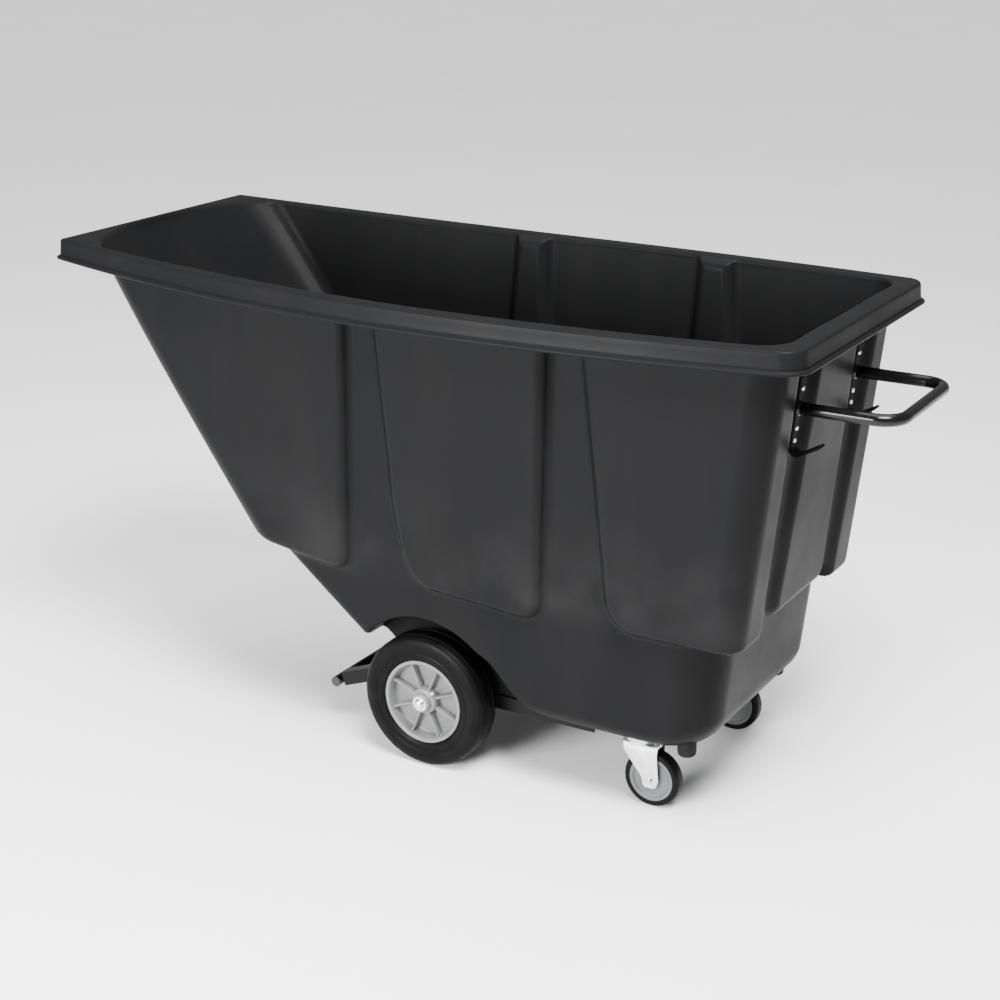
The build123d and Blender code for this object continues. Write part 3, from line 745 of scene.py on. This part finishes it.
def moulded_paint(name, color, roughness):
    paint = Paint(name, color, roughness, ior=1.4)
    paint.blend(paint.ramp(paint.noise(12.0, 4.0), 0.4, 0.75), tuple(c * 0.86 for c in color))
    paint.rough(paint.ramp(paint.noise(25.0), 0.3, 0.7, roughness * 0.88, roughness * 1.15))
    paint.bump(paint.noise(500.0, 2.0), 0.12, 0.0004)
    return paint.material


TUB = tub_paint()
PAINTS = {
    "tub": TUB,
    "powder_coat": coat_paint("powder_coat", (0.003, 0.003, 0.0032), 0.16),
    "strap_coat": coat_paint("strap_coat", (0.004, 0.004, 0.0042), 0.42, 1.06),
    "frame_coat": coat_paint("frame_coat", (0.006, 0.006, 0.0062), 0.36, 1.15),
    "zinc": metal_paint("zinc", (0.72, 0.73, 0.75), 0.30),
    "steel": metal_paint("steel", (0.42, 0.42, 0.43), 0.38),
    "tyre": rubber_paint("tyre_rubber", (0.0022, 0.0022, 0.0023), 0.42),
    "wheel_hub": moulded_paint("wheel_hub", (0.115, 0.116, 0.118), 0.38),
    "bush": metal_paint("bush", (0.42, 0.28, 0.13), 0.42),
    "caster_core": moulded_paint("caster_core", (0.085, 0.087, 0.09), 0.4),
    "caster_tread": rubber_paint("caster_tread", (0.004, 0.004, 0.0041), 0.34),
    "plug": moulded_paint("plug", (0.014, 0.014, 0.0145), 0.45),
    "rubber": rubber_paint("foot_rubber", (0.006, 0.006, 0.0062), 0.6),
}


# ---- the tub ------------------------------------------------------------------------------
CELL = 7.0


def make_tub():
    """Outer wall, inner wall and rim as one mesh, the walls shaded with exact normals."""
    cell = CELL
    low = (LIP_X - 20, -RIM_MAX_HALF, FLOOR_Z - 20)
    high = (REAR_X + 10, RIM_MAX_HALF, RIM_LOW_Z + LIP_RISE + 12)

    def inner(points):
        return tub_distance(points) + WALL

    points, quads, normals = crop(*surface_net(tub_distance, low, high, cell), 4.5)
    more, inner_quads, inner_normals = crop(*surface_net(inner, low, high, cell), 7.6)
    rim_points, rim_quads = rim_mesh()
    count = len(points)
    parts = [quads, inner_quads[:, ::-1] + count, rim_quads + count + len(more)]
    all_points = np.vstack([points, more, rim_points]) + np.array([AXLE_X, 0, 0])
    piece = new_piece("tub", all_points, np.vstack(parts), "truck", "tub", TUB)
    piece.data.update()
    flat = np.empty(len(all_points) * 3)
    piece.data.vertices.foreach_get("normal", flat)
    given = flat.reshape(-1, 3)
    given[:count] = normals
    given[count:count + len(more)] = -inner_normals
    piece.data.normals_split_custom_set_from_vertices(given.tolist())
    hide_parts("tub_shell")


# ---- main wheels ------------------------------------------------------------------------------
def make_tyre(name):
    centre = middle("tyre_" + name)
    low, high = box_mm("tyre_" + name)
    half = (high[1] - low[1]) / 2
    outer = [
        (97.0, -half + 7), (104.0, -half + 2.4), (112.0, -half + 1.6), (114.0, -half + 2.8),
        (117.0, -half + 2.8), (119.0, -half + 0.6), (130.0, -half), (138.0, -half + 1.5),
        (145.0, -half + 4.0), (WHEEL_R - 2.2, -half + 9.5), (WHEEL_R - 0.3, -half + 15.0)]
    tread = []
    for centre_line in (-17.0, 17.0):
        tread += [(WHEEL_R, centre_line - 2.3), (WHEEL_R - 3.2, centre_line - 1.4),
                  (WHEEL_R - 3.2, centre_line + 1.4), (WHEEL_R, centre_line + 2.3)]
    profile = outer + tread + [(r, -a) for r, a in reversed(outer)]
    points, faces = lathe(rounded_profile(profile, 1.6, 4), centre, (0, 1, 0), 144)
    piece = new_piece("tyre_rubber_" + name, points, faces, "wheel_" + name, "tyre",
                      PAINTS["tyre"])
    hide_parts("tyre_" + name)


def make_hub(name):
    """Light grey moulded hub with a recessed web, eight ribs and a stepped boss."""
    centre = middle("hub_" + name)
    low, high = box_mm("hub_" + name)
    length = (high[1] - low[1]) / 2
    rim = 96.0
    well = 86.0
    half = [
        (rim, 33.0), (rim - 1.0, 34.0), (rim - 7.0, 34.0), (well + 1.0, 30.0), (well, 12.0),
        (well - 4, 6.5), (34.0, 6.5), (31.0, 9.0), (29.5, 26.0), (28.0, 29.0),
        (21.5, 30.5), (21.0, length - 1.5), (19.5, length), (15.2, length)]
    profile = [(r, -a) for r, a in reversed(half)] + half
    parts = [lathe(rounded_profile(profile, 2.2, 3), centre, (0, 1, 0), 128)]
    for k in range(8):
        turn = radians(45 * k + 22.5)
        for face in (-1, 1):
            parts.append(rib(centre, turn, face))
    points, faces = join_parts(parts)
    piece = new_piece("wheel_hub_" + name, points, faces, "wheel_" + name, "wheel_hub",
                      PAINTS["wheel_hub"])
    crease(piece, 50)
    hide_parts("hub_" + name)


def rib(centre, turn, face):
    """One tapering rib between the boss and the barrel, on one face of the web."""
    along = np.array([sin(turn), 0, cos(turn)])
    across = np.array([cos(turn), 0, -sin(turn)])
    out = np.array([0.0, face, 0])
    rows = []
    for r, top in ((27.0, 24.5), (40.0, 24.0), (60.0, 22.5), (78.0, 23.0), (87.0, 25.5)):
        ring = []
        for wide, tall in ((2.9, 5.0), (2.4, top - 1.5), (1.4, top), (-1.4, top),
                           (-2.4, top - 1.5), (-2.9, 5.0)):
            ring.append(centre + along * r + across * wide + out * tall)
        rows.append(ring)
    points = [p for ring in rows for p in ring]
    faces = []
    for k in range(len(rows) - 1):
        for j in range(5):
            a = k * 6 + j
            quad = (a, a + 1, a + 7, a + 6)
            faces.append(quad if face > 0 else quad[::-1])
    return points, faces


def make_axle_ends():
    """Pressed cap on each end of the axle."""
    _, high = box_mm("axle_caps")
    for name, side in SIDES.items():
        tip = np.array([AXLE_X, side * high[1], WHEEL_R])
        axis = (0, side, 0)
        profile = [(0.01, 0), (3.5, -0.2), (7.5, -1.2), (9.8, -3.0), (10.6, -5.4), (10.8, -7.0),
                   (12.5, -7.6), (12.5, -9.2), (9.8, -9.4)]
        points, faces = lathe(rounded_profile(profile, 0.8, 3), tip, axis, 48)
        piece = new_piece("axle_cap_" + name, points, faces, "truck", "zinc", PAINTS["zinc"])
        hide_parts("axle_caps")


def make_grease_fitting(name, side):
    low, high = box_mm("grease_fitting_" + name)
    centre = (low + high) / 2
    axis = np.array([0.667, side * 0.33, 0.667])
    parts = [
        lathe(rounded_profile([(0.01, 7.6), (1.7, 7.4), (2.2, 6.0), (1.5, 4.6), (2.5, 3.0),
                               (2.5, 1.0)], 0.5, 3), centre, axis, 24),
        lathe(rounded_profile([(0.01, 2.2), (4.4, 2.2), (4.9, 1.4), (4.9, -3.4), (4.4, -4.2),
                               (0.01, -4.2)], 0.5, 3), centre, axis, 6),
        lathe([(2.6, -4), (2.6, -7.5), (0.01, -7.5)], centre, axis, 24)]
    points, faces = join_parts(parts)
    piece = new_piece("grease_nipple_" + name, points, faces, "wheel_" + name, "zinc",
                      PAINTS["zinc"])
    crease(piece, 40)
    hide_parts("grease_fitting_" + name)


# ---- casters ----------------------------------------------------------------------------------
def make_caster_wheel(name):
    centre = middle("caster_core_" + name)
    core_r, tread_r, half = 50.0, 63.5, 16.0
    hub = [
        (9.2, half), (14.0, half), (15.0, half - 0.8), (16.2, half - 4.0), (18.0, half - 4.6),
        (38.5, half - 5.2), (41.0, half - 4.2), (43.2, half - 0.9), (core_r + 0.1, half - 1.2)]
    profile = [(r, -a) for r, a in hub[::-1]] + hub
    points, faces = lathe(rounded_profile(profile, 0.9, 3), centre, (0, 1, 0), 96)
    piece = new_piece("caster_centre_" + name, points, faces, "caster_wheel_" + name,
                      "caster_core", PAINTS["caster_core"])
    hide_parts("caster_core_" + name)
    tread = [
        (core_r - 0.3, half - 1.2), (core_r + 1.0, half - 0.2), (57.0, half), (60.5, half - 1.2),
        (62.6, half - 4.5), (tread_r, half - 9.0)]
    profile = [(r, -a) for r, a in tread] + tread[::-1]
    points, faces = lathe(rounded_profile(profile, 1.6, 4), centre, (0, 1, 0), 112)
    piece = new_piece("caster_tyre_" + name, points, faces, "caster_wheel_" + name,
                      "caster_tread", PAINTS["caster_tread"])
    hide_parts("caster_tread_" + name)


CROWN_Z = 138.5                    # underside of the yoke's crown
FORK_WALL = 3.0
FORK_INNER = 19.0                  # half the gap between the legs


def fork_leg(swivel, pin, face):
    """One leg of the yoke, a tapering plate with a raised spine down its middle."""
    axle_x, axle_z = pin[0] - swivel[0], pin[2]
    crown_top = CROWN_Z + FORK_WALL
    outside, inside = [], []
    for share in np.linspace(0, 1, 26):
        z = crown_top - share * (crown_top - (axle_z - 17.0))
        front = np.interp(z, [axle_z - 20, axle_z - 14, axle_z + 4, 122, 142],
                          [axle_x - 6, axle_x - 15, axle_x - 19, -30, -33])
        back = np.interp(z, [axle_z - 20, axle_z - 14, axle_z, 122, 142],
                         [axle_x + 6, axle_x + 15, axle_x + 19.5, 47, 48])
        ridge = 1.6 * ease(z, 134.0, 112.0) * ease(z, 74.0, 92.0)
        curl = 2.2 * ease(z, 128.0, 142.0)
        row, other = [], []
        for t in np.linspace(0, 1, 15):
            x = swivel[0] + front + (back - front) * t
            bump = ridge * (ease(t, 0.30, 0.40) - ease(t, 0.60, 0.70))
            edge = 0.8 * (ease(t, 0.10, 0.0) + ease(t, 0.90, 1.0))
            y_out = FORK_INNER + FORK_WALL + bump - edge - curl
            y_in = FORK_INNER + bump * 0.7 - curl
            row.append(np.array([x, swivel[1] + face * y_out, z]))
            other.append(np.array([x, swivel[1] + face * y_in, z]))
        outside.append(row)
        inside.append(other)
    return shell_between(outside, inside)


def make_fork(name):
    """Pressed yoke: a dished crown over two legs."""
    swivel = frame_joint("caster_%s_swivel" % name)
    x, y = swivel[:2]
    pin = middle("caster_axle_" + name)
    parts = [fork_leg(swivel, pin, face) for face in (-1, 1)]
    loop = [(-33.0, 22.0), (40.0, 22.0), (48.0, 15.0), (48.0, -15.0), (40.0, -22.0),
            (-33.0, -22.0), (-36.0, -15.0), (-36.0, 15.0), (-33.0, 22.0)]
    parts.append(prism(rounded_profile(loop, 5, 4)[:-1], CROWN_Z, CROWN_Z + 3.4,
                       lambda a, b, c: np.array([x + a, y + b, c])))
    cup = [(10, CROWN_Z + 2), (26, CROWN_Z + 2), (27, CROWN_Z + 4), (26.5, 147.0), (24, 148.0),
           (10, 148.0)]
    parts.append(lathe(rounded_profile(cup, 1.5, 3), (x, y, 0), (0, 0, 1), 64))
    points, faces = join_parts(parts)
    piece = new_piece("caster_yoke_" + name, points, faces, "caster_swivel_" + name, "zinc",
                      PAINTS["zinc"], weld=True)
    crease(piece, 45)
    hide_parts("caster_fork_" + name)


def shell_between(grid, back):
    """A closed sheet-metal shell from two grids of points."""
    rows, columns = len(grid), len(grid[0])
    points = [p for row in grid for p in row] + [p for row in back for p in row]
    shift = rows * columns
    faces = []
    for r in range(rows - 1):
        for c in range(columns - 1):
            a = r * columns + c
            quad = (a, a + 1, a + 1 + columns, a + columns)
            faces += [quad, tuple(i + shift for i in quad[::-1])]
    rim = [(0, c) for c in range(columns)]
    rim += [(r, columns - 1) for r in range(1, rows)]
    rim += [(rows - 1, c) for c in range(columns - 2, -1, -1)]
    rim += [(r, 0) for r in range(rows - 2, 0, -1)]
    loop = [r * columns + c for r, c in rim]
    for k in range(len(loop)):
        a, b = loop[k], loop[(k + 1) % len(loop)]
        faces.append((a, a + shift, b + shift, b))
    return points, faces


def make_caster_plate(name):
    low, high = box_mm("caster_plate_" + name)
    centre = (low + high) / 2
    top = high[2]
    half_x, half_y = (high[0] - low[0]) / 2, (high[1] - low[1]) / 2
    corners = [(half_x, half_y), (-half_x, half_y), (-half_x, -half_y), (half_x, -half_y)]
    loop = [(half_x, 0)] + corners + [(half_x, 0)]
    outline = rounded_profile(loop, 10, 5)[:-1]
    plate = prism(outline, top - 4.0, top - 0.2,
                  lambda a, b, c: np.array([centre[0] + a, centre[1] + b, c]))
    cup = [(7, top - 3.5), (35, top - 3.8), (33.5, top - 8.0), (33.0, top - 12.0), (31.5, top - 15),
           (31.0, low[2] + 0.2), (28.8, low[2] + 0.2), (28.5, 154.0), (7.0, 154.8)]
    parts = [plate, lathe(rounded_profile(cup, 1.6, 4), (centre[0], centre[1], 0), (0, 0, 1), 72)]
    points, faces = join_parts(parts)
    piece = new_piece("caster_top_" + name, points, faces, "truck", "zinc", PAINTS["zinc"],
                      weld=True)
    crease(piece, 40)
    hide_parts("caster_plate_" + name)


def hexagon(across, low, high, centre, axis):
    """A hex head or nut with its corners turned down."""
    u, v, w = basis(axis)
    radius = across / 2 / cos(pi / 6)
    points, faces = [], []
    top = high - 0.12 * across
    rows = ((radius, low), (radius, top), (across / 2 * 0.97, high))
    for r, along in rows:
        for k in range(6):
            turn = pi / 3 * k
            points.append(np.array(centre) + w * along + r * (u * cos(turn) + v * sin(turn)))
    for row in range(2):
        for k in range(6):
            a, b = row * 6 + k, row * 6 + (k + 1) % 6
            faces.append((a, b, b + 6, a + 6))
    faces.append(tuple(range(5, -1, -1)))
    faces.append(tuple(range(12, 18)))
    return points, faces


def make_caster_axle(name):
    centre = middle("caster_axle_" + name)
    y = frame_joint("caster_%s_swivel" % name)[1]
    mid = np.array([centre[0], y, centre[2]])
    head = join_parts([
        hexagon(12.0, 22.4, 27.2, mid, (0, -1, 0)),
        lathe([(4.0, -27.0), (4.0, 22.4)], mid, (0, -1, 0), 32),
        lathe([(0.01, -29.8), (3.2, -29.8), (4.0, -29.0), (4.0, -22)], mid, (0, -1, 0), 32)])
    piece = new_piece("caster_bolt_" + name, *head, "caster_swivel_" + name, "zinc",
                      PAINTS["zinc"])
    soften(piece, 0.5, 2)
    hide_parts("caster_axle_" + name)
    nut = join_parts([
        hexagon(12.0, 22.4, 27.0, mid, (0, 1, 0)),
        lathe([(4.2, 28.6), (5.0, 28.4), (5.2, 26.8)], mid, (0, 1, 0), 32)])
    piece = new_piece("caster_lock_nut_" + name, *nut, "caster_swivel_" + name, "zinc",
                      PAINTS["zinc"])
    soften(piece, 0.5, 2)
    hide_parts("caster_axle_nut_" + name)


def frame_joint(name):
    """A joint's point in millimetres."""
    for joint in frame["joints"]:
        if joint["name"] == name:
            return np.array(joint["pos_m"]) / MM


# ---- handle ---------------------------------------------------------------------------------
REAR_TILT = atan2(REAR_LEAN, 1.0)
OUT = np.array([cos(REAR_TILT), 0, -sin(REAR_TILT)])
UP = np.array([sin(REAR_TILT), 0, cos(REAR_TILT)])


def channel_point(z, y, out):
    """A point off the floor of the rear channel, square to it."""
    return np.array([AXLE_X + rear_face(z) - REAR_PANEL, y, z]) + OUT * out


def make_handle():
    """Bent tube with a weld bead where each end meets its strap."""
    low, high = box_mm("handle_tube")
    radius = (high[2] - low[2]) / 2
    z = (high[2] + low[2]) / 2
    half = high[1] - radius
    bar_x = high[0] - radius
    bend = 48.0
    start_x = channel_point(z, 0, 5.9)[0]
    path = [(start_x, half, z), (start_x + 20, half, z)]
    for k in range(13):
        turn = radians(7.5 * k)
        path.append((bar_x - bend + bend * sin(turn), half - bend + bend * cos(turn), z))
    path += [(x, -y, z) for x, y, z in reversed(path)]
    parts = [tube(path, radius, 32)]
    for side in SIDES.values():
        weld = [(radius + 3.6, 0.2), (radius + 2.4, 2.2), (radius + 0.6, 4.2), (radius - 0.5, 4.6)]
        base = channel_point(z, side * half, 5.4)
        parts.append(lathe(rounded_profile(weld, 1.2, 3), base, OUT, 48))
    points, faces = join_parts(parts)
    piece = new_piece("push_handle", points, faces, "truck", "powder_coat", PAINTS["powder_coat"])
    crease(piece, 60)
    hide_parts("handle_tube")


STRAP_THICK = 5.0
HOOK_R = 15.0
HOOK_TIP = 41.5


def strap_line(y):
    """The middle line of a strap: down the wall, round the hook and out along its tip."""
    line = [channel_point(z, y, STRAP_THICK / 2 + 0.15) for z in (968.0, 900.0, 826.0)]
    centre = line[-1] + OUT * HOOK_R
    for k in range(1, 14):
        turn = radians(130.0 * k / 13)
        line.append(centre - OUT * HOOK_R * cos(turn) - UP * HOOK_R * sin(turn))
    heading = line[-1] - line[-2]
    heading /= np.linalg.norm(heading)
    line.append(line[-1] + heading * HOOK_TIP)
    return line


def make_strap(name):
    """Flat bar with a curled hook at its lower end."""
    low, high = box_mm("handle_strap_" + name)
    y = (low[1] + high[1]) / 2
    half = (high[1] - low[1]) / 2
    line = strap_line(y)
    rows, back = [], []
    for k, here in enumerate(line):
        ahead = line[min(k + 1, len(line) - 1)] - line[max(k - 1, 0)]
        ahead /= np.linalg.norm(ahead)
        square = np.array([-ahead[2], 0, ahead[0]])
        row, other = [], []
        for share in (-1, -0.93, 0.93, 1):
            sink = 0.7 if abs(share) == 1 else 0.0
            place = here + np.array([0, half * share, 0])
            row.append(place + square * (STRAP_THICK / 2 - sink))
            other.append(place - square * (STRAP_THICK / 2 - sink))
        rows.append(row)
        back.append(other)
    points, faces = shell_between(rows, back)
    piece = new_piece("handle_bar_strap_" + name, points, faces, "truck", "powder_coat",
                      PAINTS["strap_coat"], weld=True)
    crease(piece, 50)
    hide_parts("handle_strap_" + name)


def make_strap_bolts():
    parts = []
    half = middle("handle_strap_left")[1]
    for side in SIDES.values():
        for z in (944.0, 862.0, 836.0):
            base = channel_point(z, side * half, 5.3)
            dome = [(5.6, -0.3), (5.5, 0.9), (4.6, 2.4), (2.8, 3.2), (0.01, 3.5)]
            parts.append(lathe(rounded_profile(dome, 1.2, 3), base, OUT, 32))
            tail = channel_point(z, side * half, -WALL - 8.6)
            parts.append(lathe([(0.01, 0), (3.4, 0), (3.9, 0.6), (3.9, 8)], tail, OUT, 20))
    points, faces = join_parts(parts)
    piece = new_piece("handle_bolt_heads", points, faces, "truck", "zinc", PAINTS["zinc"],
                      weld=True)
    crease(piece, 50)
    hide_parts("handle_bolts")


def make_feet():
    low, high = box_mm("rear_feet")
    parts = []
    radius = (high[0] - low[0]) / 2
    for side in SIDES.values():
        centre = ((low[0] + high[0]) / 2, side * (high[1] - radius), 0)
        profile = [(0.01, low[2] + 1.5), (9.0, low[2]), (14.0, low[2]), (18.4, low[2] + 3.5),
                   (radius, low[2] + 9.0), (radius, high[2] + 24.0), (0.01, high[2] + 24.0)]
        parts.append(lathe(rounded_profile(profile, 2.0, 4), centre, (0, 0, 1), 48))
    points, faces = join_parts(parts)
    piece = new_piece("rubber_feet", points, faces, "truck", "rubber", PAINTS["rubber"])
    crease(piece, 50)
    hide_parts("rear_feet")


# ---- build --------------------------------------------------------------------------------------
slots = {s["node"]: s["material_slot"] for s in frame["record"]["subparts"]}
for name, node in frame["nodes"].items():
    node.data.materials.clear()
    node.data.materials.append(PAINTS[slots[name]])

make_tub()
for name, side in SIDES.items():
    make_tyre(name)
    make_hub(name)
    make_grease_fitting(name, side)
    make_caster_wheel(name)
    make_fork(name)
    make_caster_plate(name)
    make_caster_axle(name)
    make_strap(name)
make_axle_ends()
make_handle()
make_strap_bolts()
make_feet()


# ---- floor, light and camera ----------------------------------------------------------------------
def make_floor():
    mesh = bpy.data.meshes.new("floor")
    size = 70.0
    mesh.from_pydata([(-size, -size, 0), (size, -size, 0), (size, size, 0), (-size, size, 0)],
                     [], [(0, 1, 2, 3)])
    floor = bpy.data.objects.new("floor", mesh)
    bpy.context.scene.collection.objects.link(floor)
    paint = Paint("floor", (0.86, 0.86, 0.86), 0.9, ior=1.1)
    paint.blend(paint.ramp(paint.noise(1.5), 0.3, 0.7), (0.88, 0.88, 0.88))
    mesh.materials.append(paint.material)


def area_light(name, place, aim, size, power):
    data = bpy.data.lights.new(name, "AREA")
    data.shape = "RECTANGLE"
    data.size, data.size_y = size
    data.energy = power
    light = bpy.data.objects.new(name, data)
    bpy.context.scene.collection.objects.link(light)
    light.location = place
    light.rotation_euler = (Vector(aim) - Vector(place)).to_track_quat("-Z", "Y").to_euler()


def make_light():
    world = bpy.data.worlds.new("studio")
    bpy.context.scene.world = world
    world.use_nodes = True
    background = world.node_tree.nodes["Background"]
    background.inputs["Color"].default_value = (1.0, 1.0, 1.0, 1)
    background.inputs["Strength"].default_value = 0.32
    area_light("key", (-0.9, -4.0, 1.35), (0.2, 0, 0.95), (1.9, 1.3), 520)
    area_light("top", (1.7, -1.5, 4.2), (-0.2, 0.1, 0.8), (1.8, 1.8), 700)
    data = bpy.data.lights.new("ceiling", "SUN")
    data.energy = 3.2
    data.angle = radians(50)
    light = bpy.data.objects.new("ceiling", data)
    bpy.context.scene.collection.objects.link(light)
    light.rotation_euler = (radians(-8), radians(-6), 0)


def make_camera():
    data = bpy.data.cameras.new("camera")
    data.lens = 68.0
    data.sensor_width = 36.0
    camera = bpy.data.objects.new("camera", data)
    bpy.context.scene.collection.objects.link(camera)
    camera.location = (2.0355, -3.4746, 1.9416)
    camera.rotation_euler = (radians(90 - 19.29), 0, radians(30.37))
    bpy.context.scene.camera = camera


make_floor()
make_light()
make_camera()
